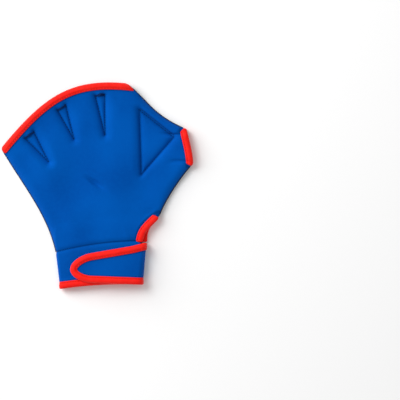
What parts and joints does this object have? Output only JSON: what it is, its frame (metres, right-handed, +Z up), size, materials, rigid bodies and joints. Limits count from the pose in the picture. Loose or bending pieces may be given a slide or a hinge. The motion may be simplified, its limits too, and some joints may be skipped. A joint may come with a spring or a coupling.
{
  "type": "webbed swim glove",
  "caption": "Left-hand webbed swim glove of neoprene with open finger and thumb mouths, bound edges and a wrapped wrist strap, lying palm down.",
  "frame": {"origin": "middle of the bounding box's underside, on the surface that the glove lies on", "axes": "+X across the hand towards the thumb, +Y along the hand towards the fingers, +Z up through the back of the hand"},
  "size_m": [0.2108, 0.2264, 0.0174],
  "materials": {
    "blue_neoprene": "blue knit-faced neoprene, matt",
    "black_knit_neoprene": "black ribbed knit-faced neoprene, matt",
    "red_tape": "red folded binding tape, slight sheen",
    "hook_and_loop": "closed hook-and-loop pair"
  },
  "bodies": {
    "root": {"back_panel": "blue_neoprene", "palm_panel": "black_knit_neoprene", "cuff_strap": "blue_neoprene", "closure_patch": "hook_and_loop", "cuff_binding": "red_tape", "back_finger_binding": "red_tape", "back_thumb_binding": "red_tape", "back_slit_binding": "red_tape", "palm_finger_binding": "red_tape", "palm_thumb_binding": "red_tape", "palm_slit_binding": "red_tape"}
  },
  "joints": []
}
